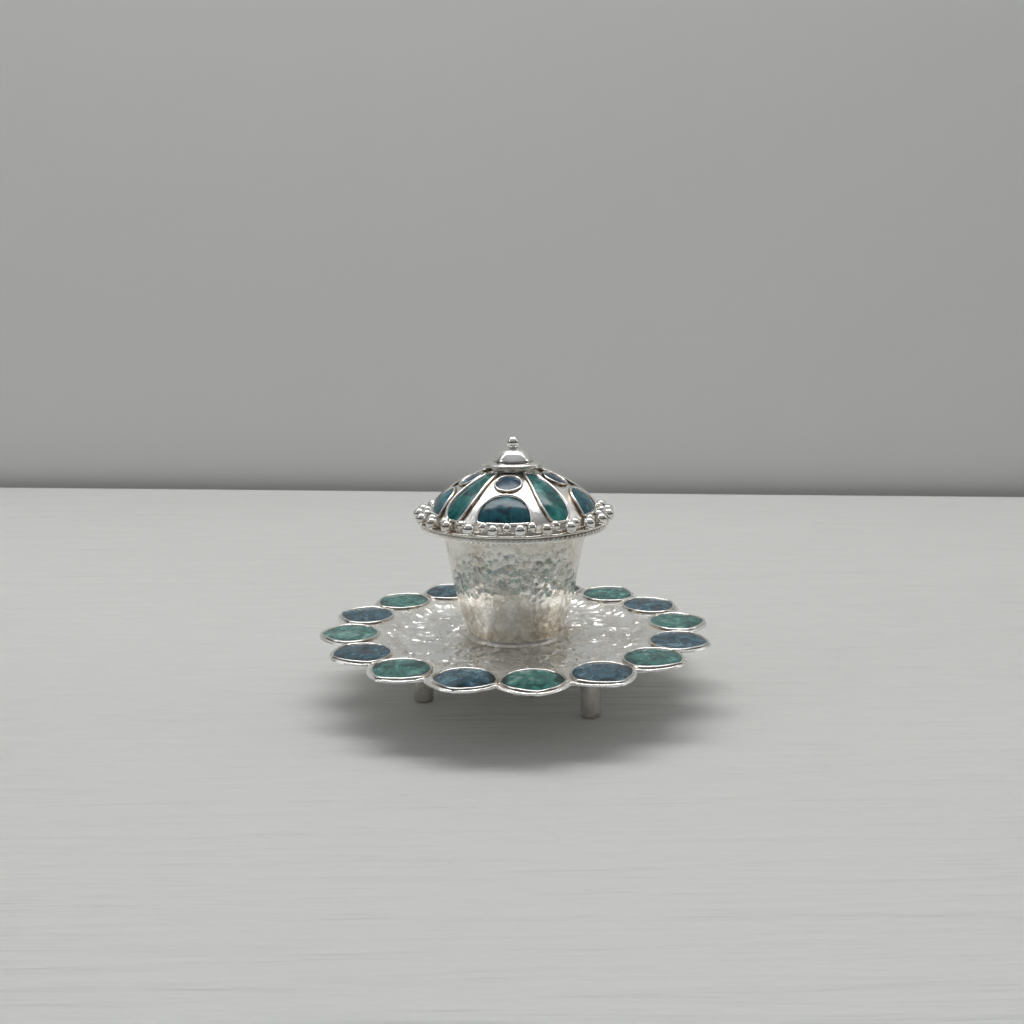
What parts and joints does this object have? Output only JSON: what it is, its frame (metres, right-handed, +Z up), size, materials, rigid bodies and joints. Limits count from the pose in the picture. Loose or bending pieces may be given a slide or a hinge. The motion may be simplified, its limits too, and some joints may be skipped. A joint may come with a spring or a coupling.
{
  "type": "sindoor box",
  "caption": "Small round silver powder box: a petal-edged enamelled tray on short feet, a tapered cup, and a domed enamelled lid that lifts off.",
  "frame": {"origin": "on the box's axis in the plane of the three feet", "axes": "+Z up along the axis towards the finial; -Y is the front of the picture, +X its right"},
  "size_m": [0.0596, 0.0574, 0.0396],
  "materials": {
    "silver_polished": "polished, hand finished",
    "silver_hammered": "bright hammered",
    "silver_chased": "bright, chased with fine strokes",
    "enamel_green": "glossy mottled enamel",
    "enamel_blue": "glossy mottled enamel",
    "enamel_teal": "glossy mottled enamel",
    "enamel_navy": "glossy mottled enamel"
  },
  "bodies": {
    "base": {"tray_plate": "silver_hammered", "petal_cell_walls": "silver_polished", "petal_enamel_green": "enamel_green", "petal_enamel_blue": "enamel_blue", "foot_front_right": "silver_polished", "foot_front_left": "silver_polished", "foot_rear": "silver_polished", "cup_body": "silver_chased", "cup_solder_seam": "silver_polished", "cup_lip_band": "silver_polished", "cup_rope_wire": "silver_polished"},
    "lid": {"lid_dome": "silver_polished", "lid_flange": "silver_polished", "lid_collar": "silver_polished", "lid_beads_outer": "silver_polished", "lid_beads_inner": "silver_polished", "lid_teardrop_walls": "silver_polished", "lid_teardrop_enamel": "enamel_green", "lid_arch_walls": "silver_polished", "lid_arch_enamel": "enamel_teal", "lid_round_walls": "silver_polished", "lid_round_enamel": "enamel_navy", "finial_neck": "silver_polished", "finial_cap": "silver_polished", "finial_bud": "silver_polished", "finial_ball": "silver_polished", "finial_rivet": "silver_polished"}
  },
  "joints": [
    {"name": "lid_lift", "type": "slide", "parent": "base", "child": "lid", "axis": [0, 0, 1], "range_m": [0, 0.03]}
  ]
}
